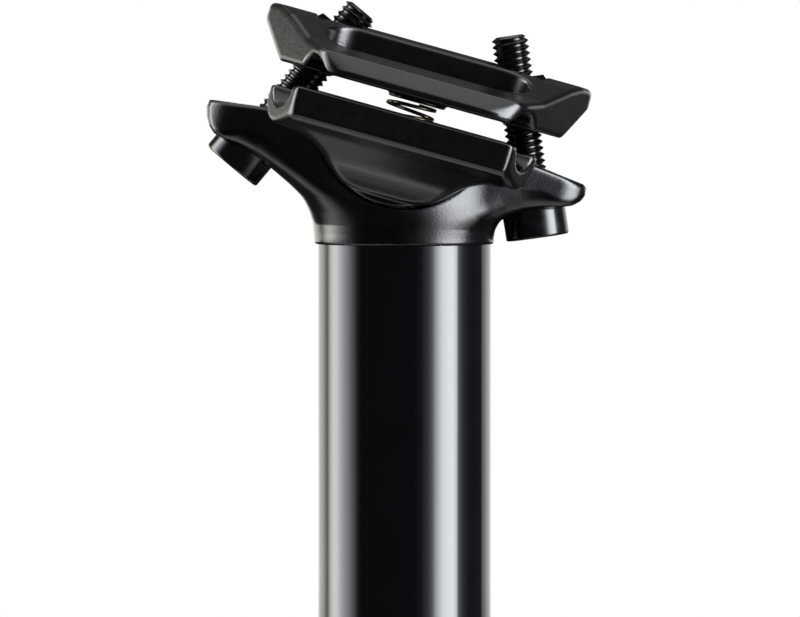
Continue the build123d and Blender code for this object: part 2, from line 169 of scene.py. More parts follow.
def surface(field, low, high, step):
    """Vertices, quads and normals of the field's zero surface inside a box."""
    axes = [np.arange(a, b + step, step) for a, b in zip(low, high)]
    shape = tuple(len(a) for a in axes)
    f = np.broadcast_to(field(axes[0][:, None, None], axes[1][None, :, None], axes[2][None, None, :]), shape)
    f = f.astype(np.float32)
    inside = f < 0
    corner = [(i, j, k) for i in (0, 1) for j in (0, 1) for k in (0, 1)]
    view = [slice(None, -1), slice(1, None)]
    count = sum(inside[view[i], view[j], view[k]].astype(np.int8) for i, j, k in corner)
    cells = np.argwhere((count > 0) & (count < 8))
    index = np.full(tuple(n - 1 for n in shape), -1, np.int64)
    index[tuple(cells.T)] = np.arange(len(cells))
    values = {c: f[tuple((cells + c).T)] for c in corner}
    total, hits = np.zeros((len(cells), 3)), np.zeros(len(cells))
    for a in corner:
        for axis in range(3):
            if a[axis]:
                continue
            b = tuple(1 if m == axis else a[m] for m in range(3))
            crosses = (values[a] < 0) != (values[b] < 0)
            t = values[a] / np.where(crosses, values[a] - values[b], 1)
            place = np.array(a, float) + np.where(crosses, t, 0)[:, None] * np.eye(3)[axis]
            total += place * crosses[:, None]
            hits += crosses
    verts = np.array(low) + (cells + total / hits[:, None]) * step
    quads = []
    for axis in range(3):
        cut = [slice(None)] * 3
        cut[axis] = slice(None, -1)
        nxt = [slice(None)] * 3
        nxt[axis] = slice(1, None)
        edges = np.argwhere(inside[tuple(cut)] != inside[tuple(nxt)])
        p, q = (axis + 1) % 3, (axis + 2) % 3
        along_p, along_q = edges[:, p], edges[:, q]
        edges = edges[(along_p > 0) & (along_q > 0) & (along_p < shape[p] - 1) & (along_q < shape[q] - 1)]
        ring = []
        for dp, dq in ((-1, -1), (0, -1), (0, 0), (-1, 0)):
            c = edges.copy()
            c[:, p] += dp
            c[:, q] += dq
            ring.append(index[tuple(c.T)])
        face = np.stack(ring, 1)
        flip = ~inside[tuple(edges.T)]
        face[flip] = face[flip][:, ::-1]
        quads.append(face)
    verts = settle(field, verts, step)
    return verts, np.concatenate(quads), slope(field, verts)


def slope(field, verts):
    """Unit gradient of the field at each point."""
    e = 0.02
    g = np.zeros_like(verts)
    for axis in range(3):
        d = np.eye(3)[axis] * e
        a, b = verts + d, verts - d
        g[:, axis] = field(a[:, 0], a[:, 1], a[:, 2]) - field(b[:, 0], b[:, 1], b[:, 2])
    return g / np.maximum(np.linalg.norm(g, axis=1, keepdims=True), 1e-12)


def settle(field, verts, step):
    """Moves points onto the surface, never further than part of a cell."""
    start = verts.copy()
    for _ in range(3):
        d = field(verts[:, 0], verts[:, 1], verts[:, 2])
        verts = verts - slope(field, verts) * np.clip(d, -0.3 * step, 0.3 * step)[:, None]
    move = verts - start
    far = np.linalg.norm(move, axis=1, keepdims=True)
    return start + move * np.minimum(1, 0.7 * step / np.maximum(far, 1e-9))


# ------------------------------------------------------------------ mesh helpers
def new_piece(name, verts, faces, normals=None):
    """A smooth-shaded mesh object from points in metres."""
    mesh = bpy.data.meshes.new(name)
    mesh.from_pydata([tuple(v) for v in verts], [], [tuple(int(i) for i in f) for f in faces])
    mesh.validate()
    mesh.shade_smooth()
    if normals is not None and len(mesh.vertices) == len(normals):
        mesh.normals_split_custom_set_from_vertices([tuple(n) for n in normals])
    obj = bpy.data.objects.new(name, mesh)
    bpy.context.scene.collection.objects.link(obj)
    return obj


def forged(name, field, low, high, step, tilt):
    """A piece from a distance field in a frame at the pivot that leans forward by tilt degrees."""
    verts, quads, normals = surface(field, low, high, step)
    a = math.radians(tilt)
    lean = np.array(((math.cos(a), 0, math.sin(a)), (0, 1, 0), (-math.sin(a), 0, math.cos(a))))
    return new_piece(name, (verts @ lean.T + PIVOT) * MM, quads, normals @ lean.T)


AXIS = 0.001                                            # radius that closes a turned surface


def lathe(profile, segments=96, hexed=()):
    """Turned surface about Z from (radius, height) points.

    Rows listed in hexed follow a hexagon whose flats are at that radius.
    """
    verts, faces = [], []
    for row, (r, z) in enumerate(profile):
        for i in range(segments):
            t = 2 * math.pi * i / segments
            s = r / math.cos((t + math.pi / 6) % (math.pi / 3) - math.pi / 6) if row in hexed else r
            verts.append((s * math.cos(t), s * math.sin(t), z))
    for row in range(len(profile) - 1):
        for i in range(segments):
            j = (i + 1) % segments
            a, b = row * segments, (row + 1) * segments
            faces.append((a + i, a + j, b + j, b + i))
    return verts, faces


def soften(points, radius, steps=3):
    """An open (radius, height) profile with every corner between its ends rounded."""
    out = [points[0]]
    for a, b, c in zip(points, points[1:], points[2:]):
        here, p, q = np.array(b), np.array(a) - b, np.array(c) - b
        lp, lq = np.linalg.norm(p), np.linalg.norm(q)
        cut = min(radius, 0.45 * lp, 0.45 * lq)
        s, e = here + p / lp * cut, here + q / lq * cut
        for k in range(steps + 1):
            t = k / steps
            out.append(tuple((1 - t) ** 2 * s + 2 * t * (1 - t) * here + t * t * e))
    out.append(points[-1])
    return out


def clean(obj, sharp=math.radians(40)):
    """Welds seams, drops slivers, points normals outwards and keeps corners crisp."""
    bm = bmesh.new()
    bm.from_mesh(obj.data)
    bmesh.ops.remove_doubles(bm, verts=bm.verts, dist=2e-6)
    bmesh.ops.dissolve_degenerate(bm, edges=bm.edges, dist=1e-6)
    bmesh.ops.recalc_face_normals(bm, faces=bm.faces)
    for edge in bm.edges:
        edge.smooth = len(edge.link_faces) != 2 or edge.calc_face_angle(0) < sharp
    bm.to_mesh(obj.data)
    bm.free()
    return obj


def place(verts, origin, axis):
    """Points about Z moved to an origin in metres with their Z along axis; millimetres in, metres out."""
    spin = Vector((0, 0, 1)).rotation_difference(Vector(axis))
    return [tuple(Vector(origin) + spin @ Vector(v) * MM) for v in verts]


def merged(*shells):
    """Several (verts, faces) shells as one."""
    verts, faces = [], []
    for v, f in shells:
        faces += [tuple(i + len(verts) for i in face) for face in f]
        verts += list(v)
    return verts, faces


# ------------------------------------------------------------------ materials
def nodes_of(name):
    """A new material, its node tree and its main shader."""
    mat = bpy.data.materials.new(name)
    mat.use_nodes = True
    tree = mat.node_tree
    return mat, tree, tree.nodes["Principled BSDF"]


def math_node(tree, kind, a, b=None, clamp=False):
    """One sum on numbers or sockets."""
    n = tree.nodes.new("ShaderNodeMath")
    n.operation = kind
    n.use_clamp = clamp
    for socket, value in zip(n.inputs, (a, b)):
        if value is None:
            continue
        if isinstance(value, (int, float)):
            socket.default_value = value
        else:
            tree.links.new(value, socket)
    return n.outputs[0]


def noise(tree, scale, detail=2.0, stretch=(1, 1, 1)):
    """Noise fixed to the object, with scale in cells a metre."""
    coord = tree.nodes.new("ShaderNodeTexCoord")
    mapping = tree.nodes.new("ShaderNodeMapping")
    mapping.inputs["Scale"].default_value = stretch
    tree.links.new(coord.outputs["Object"], mapping.inputs["Vector"])
    n = tree.nodes.new("ShaderNodeTexNoise")
    n.inputs["Scale"].default_value = scale
    n.inputs["Detail"].default_value = detail
    tree.links.new(mapping.outputs["Vector"], n.inputs["Vector"])
    return n.outputs["Fac"]


def ramp(tree, source, stops):
    """Colours along a 0 to 1 value, from (position, colour) stops."""
    n = tree.nodes.new("ShaderNodeValToRGB")
    while len(n.color_ramp.elements) < len(stops):
        n.color_ramp.elements.new(0.5)
    for e, (pos, colour) in zip(n.color_ramp.elements, stops):
        e.position = pos
        e.color = (*colour, 1)
    tree.links.new(source, n.inputs["Fac"])
    return n.outputs["Color"]


def finish(name, colour, rough, metal=0.0, mottle=0.15, grain=9000.0, bump=0.0, bump_depth=2e-5,
           coarse=300.0, rough_vary=0.06, stretch=(1, 1, 1), specular=0.5):
    """A surface with coarse mottling of colour and gloss, and a fine grain in its relief."""
    mat, tree, bsdf = nodes_of(name)
    broad = noise(tree, coarse, 3.0, stretch)
    fine = noise(tree, grain, 2.0, stretch)
    dark = tuple(c * (1 - mottle) for c in colour)
    light = tuple(min(1.0, c * (1 + mottle)) for c in colour)
    tree.links.new(ramp(tree, broad, [(0.35, dark), (0.65, light)]), bsdf.inputs["Base Color"])
    wobble = math_node(tree, "MULTIPLY", math_node(tree, "SUBTRACT", broad, 0.5), rough_vary * 2)
    tree.links.new(math_node(tree, "ADD", wobble, rough, clamp=True), bsdf.inputs["Roughness"])
    bsdf.inputs["Metallic"].default_value = metal
    bsdf.inputs["Specular IOR Level"].default_value = specular
    if bump:
        b = tree.nodes.new("ShaderNodeBump")
        b.inputs["Strength"].default_value = bump
        b.inputs["Distance"].default_value = bump_depth
        tree.links.new(fine, b.inputs["Height"])
        tree.links.new(b.outputs["Normal"], bsdf.inputs["Normal"])
    return mat


MATERIALS = {
    "gloss_black": finish("gloss_black", (0.0004, 0.0005, 0.0007), 0.035, mottle=0.3, rough_vary=0.012,
                          grain=2500, bump=0.02, bump_depth=1e-6, coarse=120),
    "satin_black": finish("satin_black", (0.0007, 0.0007, 0.0008), 0.2, mottle=0.3, rough_vary=0.05,
                          grain=2800, bump=0.6, bump_depth=2.6e-5, coarse=500),
    "anodised_black": finish("anodised_black", (0.012, 0.012, 0.014), 0.3, metal=0.6, mottle=0.25,
                             grain=9000, bump=0.15, bump_depth=1e-5, coarse=400),
    "black_oxide": finish("black_oxide", (0.0018, 0.0016, 0.0015), 0.15, mottle=0.4, rough_vary=0.08,
                          grain=6000, bump=0.12, bump_depth=8e-6, coarse=700),
    "washer_steel": finish("washer_steel", (0.014, 0.013, 0.012), 0.3, metal=0.4, mottle=0.3,
                           grain=7000, bump=0.15, bump_depth=8e-6, coarse=900),
    "spring_wire": finish("spring_wire", (0.09, 0.072, 0.055), 0.22, metal=0.9, mottle=0.3,
                          grain=9000, bump=0.1, bump_depth=5e-6, coarse=1500),
    "coil_steel": finish("coil_steel", (0.035, 0.035, 0.04), 0.32, metal=0.3, mottle=0.3,
                         grain=4000, bump=0.2, bump_depth=2e-5, coarse=500),
    "bare_aluminium": finish("bare_aluminium", (0.62, 0.62, 0.63), 0.3, metal=1.0, mottle=0.06,
                             grain=3000, bump=0.2, bump_depth=1e-5, coarse=300, stretch=(0.2, 0.2, 6)),
    "bush_plastic": finish("bush_plastic", (0.06, 0.06, 0.063), 0.45, mottle=0.2, grain=5000, bump=0.2),
    "seal_rubber": finish("seal_rubber", (0.012, 0.012, 0.012), 0.55, mottle=0.3, grain=6000, bump=0.3,
                          bump_depth=2e-5, specular=0.35),
    "foam": finish("foam", (0.30, 0.29, 0.27), 0.85, mottle=0.3, grain=2500, bump=0.9, bump_depth=1.5e-4),
    "brass": finish("brass", (0.66, 0.47, 0.20), 0.3, metal=1.0, mottle=0.12, grain=5000, bump=0.1),
    "elastomer": finish("elastomer", (0.46, 0.27, 0.06), 0.4, mottle=0.2, grain=2500, bump=0.15),
    "spring_steel": finish("spring_steel", (0.30, 0.30, 0.31), 0.28, metal=1.0, mottle=0.12,
                           grain=6000, bump=0.1),
}


def dress(obj, slot_name):
    """Gives obj the material of a slot, alone."""
    obj.data.materials.clear()
    obj.data.materials.append(MATERIALS[slot_name])
    return obj


def stand_for(obj, node, body, slot_name):
    """Makes obj the visible version of a CAD node."""
    dress(obj, slot_name)
    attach(obj, body)
    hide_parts(node)
    return obj


SLOT_OF = {s["node"]: s["material_slot"] for s in RECORD["subparts"]}
BODY_OF = {n: body for body, members in RECORD["behaviour"]["bodies"].items() for n in members}
for node_name, node in frame["nodes"].items():
    dress(node, SLOT_OF[node_name])


# ------------------------------------------------------------------ bolt positions, from the joints
def bolt_places(end):
    """A bolt's head seat, its axis, and its nut's place in the clamp's leaning frame."""
    turning, nut = JOINTS[end + "_bolt_turn"], JOINTS[end + "_nut_turn"]
    offset = np.array(nut["pos_m"]) / MM - PIVOT
    nut_u, nut_w = turn(offset[0], offset[2], CLAMP_TILT)
    return {"seat": np.array(turning["pos_m"]) / MM, "axis": np.array(turning["axis"]),
            "nut_u": nut_u, "nut_w": nut_w, "side": 1 if end == "front" else -1}


BOLTS = {end: bolt_places(end) for end in ("front", "rear")}
BOLT_SLOT = 1.3                                         # straight half of a bolt's slot in the crown
BOLT_CLEAR = 3.3                                        # radius kept free round a bolt
NUT_SWING = JOINTS["front_nut_turn"]["range_deg"][1]


def bolt_frame(end, x, z):
    """Coordinates (across, along) of a bolt for points in the post's frame at the pivot."""
    px, pz = x + PIVOT[0] - BOLTS[end]["seat"][0], z + PIVOT[2] - BOLTS[end]["seat"][2]
    ax, az = BOLTS[end]["axis"][0], BOLTS[end]["axis"][2]
    return px * az - pz * ax, px * ax + pz * az


# ------------------------------------------------------------------ crown
NECK = 13.65                                            # radius, just over the tube's
ROCKER = 13.5                                           # radius of the cradle's belly in the trough
ROCKER_GAP = 0.12
ARM_REACH = 23.9                                        # centre of an arm's round end
ARM_R = 8.2
HEAD_CLEAR = 5.5                                        # radius of a bolt head's pocket
WASHER_HIGH = 1.68                                      # washer and clearance over the head's seat


def crown_side():
    """Side outline in the post's frame, heights from the collar."""
    rear = [(-NECK, 0), (-13.8, 1.7), (-14.15, 3.5), (-15.2, 5.7), (-16.1, 7.1), (-18.0, 9.2), (-20.9, 11.8),
            (-23.5, 13.7), (-26.3, 15.6), (-28.6, 16.6), (-29.7, 17.4), (-30.45, 18.6), (-30.85, 20.0),
            (-30.9, 21.6), (-30.4, 22.65)]
    front = [(28.0, 9.35), (28.4, 8.8), (28.2, 7.7), (27.5, 6.7), (26.2, 5.7), (24.0, 5.35), (21.5, 5.15),
             (19.0, 4.7), (16.6, 3.9), (15.1, 3.0), (14.3, 2.0), (13.85, 1.0), (NECK, 0)]
    return [(x, z + COLLAR) for x, z in rear + [(-21.3, 21.35), (20.3, 12.45)] + front]


CROWN_SIDE = crown_side()
FLARE_TOP = [(40.0, 45.0), (0, 45.0)]
FLARE_FOOT = [(0, -1), (NECK, -1), (NECK, 0)]
FRONT_FLARE = FLARE_FOOT + [(13.85, 1.2), (14.4, 2.4), (15.9, 3.5), (19.0, 4.5), (26.0, 5.4),
                            (40.0, 6.2)] + FLARE_TOP
REAR_FLARE = FLARE_FOOT + [(13.8, 1.7), (14.15, 3.5), (15.3, 5.2), (17.0, 7.2), (20.8, 10.3),
                           (26.0, 13.8), (40.0, 20.0)] + FLARE_TOP


def crown_plan_field(u, v):
    """Neck circle drawn out into two round-ended arms."""
    s = (NECK - ARM_R) / ARM_REACH
    c = math.sqrt(1 - s * s)
    a, b = np.abs(u), np.abs(v)
    along = a * c - b * s
    k = a * s + b * c
    return np.where(along < 0, np.hypot(a, b) - NECK,
                    np.where(along > ARM_REACH * c, np.hypot(a - ARM_REACH, b) - ARM_R, k - NECK))


def crown_field(x, y, z):
    """Neck flaring into two arms, with a trough across for the cradle and a pocketed slot for each bolt."""
    u, w = turn(x, z, CROWN_TILT)
    side = polygon(x, z, CROWN_SIDE)
    height = z - COLLAR
    swell = 1 + 0.10 * smooth(1.0, 7.0, height) * (1 - smooth(2.0, 13.0, np.abs(x)))
    plan = crown_plan_field(u, y / swell)
    r = np.hypot(x, y)
    front = smooth(-8.0, 8.0, x)
    flare = polygon(r, height, FRONT_FLARE) * front + polygon(r, height, REAR_FLARE) * (1 - front)
    under = (1 - smooth(-7.0, -3.0, w)) * (1 - smooth(21.0, 29.0, np.abs(u)))
    arms = smax(side, plan, 1.0 + 4.0 * under)
    arms = smax(arms, flare, 2.0)
    neck = smax(r - NECK, side, 0.6)
    d = smin(arms, neck, 3.0)
    d = smax(d, ROCKER + ROCKER_GAP - np.hypot(x, z), 0.7)
    for end in ("front", "rear"):
        across, along = bolt_frame(end, x, z)
        across = across * BOLTS[end]["side"] + 0.5
        hole = np.maximum(slot(across, y, BOLT_SLOT, BOLT_CLEAR), np.abs(along - 6) - 9)
        pocket = np.maximum(slot(across, y, BOLT_SLOT, HEAD_CLEAR), along - WASHER_HIGH)
        d = smax(d, -np.minimum(hole, pocket), 0.5)
    return smax(d, COLLAR + 0.02 - z, 0.4)


# ------------------------------------------------------------------ cradle
HALF = 27.5                                             # half of the head's width
BAR_END = 26.0
BAR_LOW = -6.1                                          # underside of the bars that carry the rails
BAR_FOOT = 15.6                                         # where the belly leaves the bars
CRADLE_END = 17.0
END_SLOPE = 0.41
CHEEK = 14.3                                            # inner face of the bars
ROCKER_HALF = 14.9
POCKET_R = 4.9                                          # clamp spring's pocket
OUTER_LIP = 0.8
INNER_LIP = -0.1


def lobe_side():
    """Side outline of the cradle: bars with a belly on the rocker's radius."""
    a = math.radians(46)
    u, w = ROCKER * math.sin(a), -ROCKER * math.cos(a)
    arc = [(ROCKER * math.sin(t), -ROCKER * math.cos(t)) for t in np.linspace(a, -a, 25)]
    pull = 5.5
    right = bezier((BAR_FOOT, BAR_LOW), (-pull, 0), (u, w), (-pull * math.cos(a), -pull * math.sin(a)))
    left = [(-p, q) for p, q in reversed(right)]
    top = [(-BAR_END, BAR_LOW), (-BAR_END, 5), (BAR_END, 5), (BAR_END, BAR_LOW), (BAR_FOOT, BAR_LOW)]
    return top + right + arc + left + [(-BAR_FOOT, BAR_LOW)]


LOBE_SIDE = lobe_side()
FLANK = rounded([(10, 5, 0), (10, -15, 0), (14.9, -15, 0), (15.2, -13.4, 2), (17.4, -9.2, 10),
                 (24.0, -5.3, 10), (26.8, -4.3, 1.2), (HALF, -3.5, 0.6), (HALF, OUTER_LIP, 0.45),
                 (20, OUTER_LIP, 0), (20, 5, 0)], steps=12)


def ends(u, v, half_length, slant):
    """Distance past the shallow V of a clamp half's ends."""
    return (np.abs(u) - half_length - (HALF - v) * slant) / math.hypot(1, slant)


def cradle_field(u, v, w):
    """Two rail bars joined by a hollow belly that rocks in the crown's trough."""
    v = np.abs(v)
    side = polygon(u, w, LOBE_SIDE)
    flank = polygon(v, w, FLANK)
    d = smax(side, flank, 1.1)
    cheek = np.hypot(v - RAIL_V, np.minimum(w + 0.45, 0)) - 5.65 - 8 * (1 - smooth(12.5, 18.0, np.abs(u)))
    d = smax(d, cheek, 1.2)
    d = smax(d, ends(u, v, CRADLE_END, END_SLOPE), 0.9)
    web = smin(np.abs(u) - 14.0, 16.9 - v, 2.0)
    d = smax(d, web, 0.8)
    d = smax(d, w - np.where(v < RAIL_V, INNER_LIP, OUTER_LIP + 0.1), 0.5)
    d = smax(d, CHEEK - v, 0.4)
    rocker = smax(np.hypot(u, w) - ROCKER, v - ROCKER_HALF, 0.6)
    rocker = smax(rocker, w + 2.2, 0.6)
    d = smin(d, rocker, 0.8)
    d = smax(d, RAIL_R - np.hypot(v - RAIL_V, np.minimum(w - RAIL_W, 0)), 0.5)
    return smax(d, -smax(np.hypot(u, v) - POCKET_R, SPRING_FLOOR - w, 0.3), 0.4)


# ------------------------------------------------------------------ upper clamp
SHIFT = (BOLTS["front"]["nut_u"] + BOLTS["rear"]["nut_u"]) / 2      # forward of the cradle's middle
TOP = 12.3
FLOOR = 3.6
UPPER_END = 14.7
UPPER_SLOPE = 0.435
NUT_R = 5.04
NUT_HALF = 6.3
BOSS_R = 4.6                                            # disc that the clamp spring bears on
BOSS_W = 3.6
WINDOW_V = 12.45
WINDOW_HALF = 11.2                                      # straight half of a window
WINDOW_R = 5.0
ROOF = rounded([(-40, TOP, 0), (4.7, TOP, 0.8), (9.0, 11.25, 4), (17.5, 8.35, 8), (24.9, 7.2, 0.8),
                (26.8, 5.35, 0.5), (HALF, 4.9, 0.4), (HALF, FLOOR, 0.35), (-40, FLOOR, 0)])
TIP = UPPER_END + (HALF - 1.2) * UPPER_SLOPE
TIP_SIDE = rounded([(-TIP - 0.1, 9.4, 1.5), (-TIP + 4.1, 3.4, 0), (TIP - 3.2, 3.4, 0), (TIP, 9.3, 1.5),
                    (TIP, TOP + 0.15, 1.3), (-TIP, TOP + 0.15, 1.3)])


def clamp_field(u, v, w):
    """Boat-shaped plate with a window each side, rail grooves below and cross bores for the two nuts."""
    across = v
    u, v = u - SHIFT, np.abs(v)
    plan = smax(v - HALF, ends(u, v, UPPER_END, UPPER_SLOPE), 5.0)
    d = smax(polygon(v, w, ROOF), plan, 1.0)
    d = smax(d, polygon(u, w, TIP_SIDE), 0.5)
    d = smax(d, RAIL_R - np.hypot(v - RAIL_V, w - RAIL_W - CLAMP_TRAVEL), 0.8)
    d = smin(d, smax(np.hypot(u, v) - BOSS_R, np.abs(w - BOSS_W) - 0.6, 0.3), 0.4)
    d = smax(d, -slot(u, v - WINDOW_V, WINDOW_HALF, WINDOW_R), 0.6)
    for end in ("front", "rear"):
        from_nut_u, from_nut_w = u + SHIFT - BOLTS[end]["nut_u"], w - BOLTS[end]["nut_w"]
        d = smax(d, -np.maximum(np.hypot(from_nut_u, from_nut_w) - NUT_R, v - NUT_HALF), 0.4)
        lean = math.degrees(math.atan2(BOLTS[end]["axis"][0], BOLTS[end]["axis"][2])) - CLAMP_TILT
        s, t = turn(from_nut_u, from_nut_w, lean)
        swing = math.radians(NUT_SWING)
        fan = (np.abs(s) - BOLT_CLEAR - np.abs(t) * math.tan(swing)) * math.cos(swing)
        d = smax(d, -np.maximum(fan, np.abs(across) - BOLT_CLEAR), 0.4)
    return d


STEP = 0.36                      # cell of the meshing grid
crown = forged("crown_forged", crown_field, (-31.6, -16, COLLAR - 0.4), (29.2, 16, 4.5), STEP, 0)
cradle = forged("cradle_forged", cradle_field, (-22.6, -28, -14.2), (22.6, 28, 1.8), STEP, CLAMP_TILT)
clamp = forged("upper_clamp_forged", clamp_field, (-26.6, -28, 2.6), (28.6, 28, 13.2), STEP, CLAMP_TILT)
stand_for(crown, "crown", "slider", "satin_black")
stand_for(cradle, "lower_cradle", "cradle", "satin_black")
stand_for(clamp, "upper_clamp", "clamp", "satin_black")


def crown_spigot():
    """The crown's plug inside the stanchion."""
    low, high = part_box("crown")[0].z / MM, COLLAR + PIVOT[2] + 3
    radius = 11.5
    profile = [(AXIS, low), (radius, low), (radius, high), (AXIS, high)]
    verts, faces = lathe(soften(profile, 0.5))
    obj = clean(new_piece("crown_spigot", place(verts, (0, 0, 0), (0, 0, 1)), faces))
    dress(obj, "bare_aluminium")
    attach(obj, "slider")
    return obj


crown_spigot()


# ------------------------------------------------------------------ bolts
PITCH = 1.0
BOLT_LENGTH = 26.0                                      # under the head
MAJOR = 2.93
MINOR = 2.42
HEAD_R = 5.0
HEAD_HIGH = 5.85
HEX_R = 2.5                                             # half across the flats of the socket
# Height of the thread's flank through one pitch: flat root, rise, narrow crest, fall.
FLANK_AT = (0.0, 0.08, 0.42, 0.48, 0.54, 0.88, 1.0)
FLANK_HEIGHT = (0.0, 0.0, 0.92, 1.0, 0.92, 0.0, 0.0)


def thread(low, high, segments=48, rows=10):
    """Right-hand helical thread about Z, cut square at the head and chamfered at the tip."""
    depth = np.interp([i / rows for i in range(rows)], FLANK_AT, FLANK_HEIGHT)
    turns = int(math.ceil((high - low) / PITCH)) + 2
    verts, faces = [], []
    count = turns * rows
    for i in range(segments + 1):
        t = 2 * math.pi * i / segments
        for k in range(count):
            z = low + (k / rows - 1.5 + i / segments) * PITCH
            z = min(max(z, low), high)
            chamfer = MINOR - 0.35 + min(high - z, 0.55) * 1.6
            r = min(MINOR + (MAJOR - MINOR) * depth[k % rows], chamfer)
            verts.append((r * math.cos(t), r * math.sin(t), z))
    for i in range(segments):
        for k in range(count - 1):
            a, b = i * count + k, (i + 1) * count + k
            faces.append((a, b, b + 1, a + 1))
    cap = len(verts)
    verts.append((0, 0, high))
    for i in range(segments):
        faces.append((i * count + count - 1, (i + 1) * count + count - 1, cap))
    return verts, faces


def clamp_bolt(end):
    """Socket-head bolt with a rounded head, a hexagon socket and a cut thread."""
    head = soften([(2.6, 0), (HEAD_R, 0), (HEAD_R, -HEAD_HIGH), (3.25, -HEAD_HIGH)], 0.45)
    socket = [(3.05, 0.05 - HEAD_HIGH), (HEX_R, 0.55 - HEAD_HIGH), (HEX_R, -2.6), (0.9, -1.9), (AXIS, -1.9)]
    hexed = (len(head) + 1, len(head) + 2)
    verts, faces = merged(lathe(head + socket, hexed=hexed), thread(0.0, BOLT_LENGTH))
    b = BOLTS[end]
    obj = new_piece(end + "_clamp_bolt_threaded", place(verts, b["seat"] * MM, b["axis"]), faces)
    clean(obj, math.radians(38))
    return stand_for(obj, end + "_clamp_bolt", end + "_bolt", "black_oxide")


for end in BOLTS:
    clamp_bolt(end)


# ------------------------------------------------------------------ springs
def coil(radius, wire, low, high, turns, dead, ground=False, sides=12, per_turn=40):
    """Wire of radius wire wound about Z; dead turns at each end lie closed, and ground ends are cut flat."""
    rows = int(turns * per_turn) + 1
    verts, faces = [], []
    for i in range(rows):
        a = 2 * math.pi * i / per_turn
        t = i / (rows - 1) * turns
        active = np.clip((t - dead) / (turns - 2 * dead), 0, 1)
        closed = 2 * wire * 1.02
        z = low + closed * (min(t, dead) + max(0, t - turns + dead))
        z += (high - low - 2 * closed * dead) * active
        out = Vector((math.cos(a), math.sin(a), 0))
        for s in range(sides):
            p = 2 * math.pi * s / sides
            point = out * (radius + wire * math.cos(p)) + Vector((0, 0, z + wire * math.sin(p)))
            if ground:
                point.z = min(max(point.z, low - wire * 0.35), high + wire * 0.35)
            verts.append(tuple(point))
    for i in range(rows - 1):
        for s in range(sides):
            n = (s + 1) % sides
            faces.append((i * sides + s, i * sides + n, (i + 1) * sides + n, (i + 1) * sides + s))
    faces += [tuple(range(sides))[::-1], tuple((rows - 1) * sides + s for s in range(sides))]
    return verts, faces


def main_spring():
    """Twenty-four turns with ground ends, between the two spring seats."""
    low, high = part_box("main_spring")
    wire = 1.75
    ground = wire * 0.35
    verts, faces = coil(8.75, wire, low.z / MM + ground, high.z / MM - ground, 24, dead=1.0, ground=True)
    obj = new_piece("main_spring_coil", place(verts, (0, 0, 0), (0, 0, 1)), faces)
    clean(obj, math.radians(50))
    stand_for(obj, "main_spring", BODY_OF["main_spring"], "coil_steel")
    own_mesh(obj)


def clamp_spring():
    """Light open coil from the cradle's pocket to the boss under the upper clamp."""
    wire, height = 0.3, 7.15
    forward = np.array((CLAMP_UP[2], 0, -CLAMP_UP[0]))
    base = PIVOT + CLAMP_UP * SPRING_FLOOR + forward * 0.5
    verts, faces = coil(3.75, wire, wire, height - wire, 4.2, dead=0.55)
    obj = new_piece("clamp_spring_coil", place(verts, base * MM, CLAMP_UP), faces)
    clean(obj, math.radians(50))
    stand_for(obj, "clamp_spring", BODY_OF["clamp_spring"], "spring_wire")
    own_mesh(obj)


main_spring()
clamp_spring()


# ------------------------------------------------------------------ studio
LIGHT = 20.0                                            # strength that a ramp's 1 stands for


def grey(level):
    return (level,) * 3


def by_bearing(items):
    """Ramp stops from (bearing in degrees, light) pairs; 0 is behind the camera and 90 to its right."""
    return [(0.5 + bearing / 360, tuple(c / LIGHT for c in colour)) for bearing, colour in items]


def by_height(*items):
    """Ramp stops from (elevation in degrees, share of the light) pairs."""
    return [(0.5 + elevation / 180, grey(share)) for elevation, share in items]


# A soft lamp at the left, and a brighter one at the right with a hard rear edge.
SIDE_LAMPS = by_bearing([
    (-180, grey(0.1)), (-130, grey(0.1)), (-124, (0.9, 0.9, 0.8)), (-118, (4.2, 4.15, 3.95)),
    (-109, (8.6, 8.6, 8.2)), (-101, grey(9.4)), (-92, (6.3, 6.35, 6.9)), (-83, (4.0, 4.05, 4.4)),
    (-74, (1.7, 1.75, 1.9)), (-66, (0.3, 0.3, 0.35)), (-60, (0.07, 0.07, 0.08)), (14, (0.07, 0.07, 0.09)),
    (22, (0.16, 0.16, 0.2)), (31, (0.75, 0.77, 0.87)), (37, (2.0, 2.1, 2.3)), (44, (8.8, 9.1, 9.7)),
    (52, (15.2, 15.8, 16.6)), (60, (17.2, 17.8, 18.6)), (67, (17.2, 17.7, 18.5)), (73, (12.0, 12.4, 13.2)),
    (76.5, (1.8, 1.85, 2.1)), (84, (0.5, 0.5, 0.62)), (93, (0.17, 0.17, 0.21)), (102, (0.1, 0.1, 0.12)),
    (180, grey(0.1))])
# The white backdrop, which lights the outlines.
BACKDROP = by_bearing([
    (-180, grey(1.3)), (-150, (1.6, 1.6, 1.5)), (-138, (1.9, 1.87, 1.7)), (-129, (1.1, 1.08, 0.95)),
    (-124, grey(0.0)), (123, grey(0.0)), (127, grey(0.8)), (142, grey(1.4)), (180, grey(1.3))])
LAMP_TOP = ((38, 1), (58, 0))


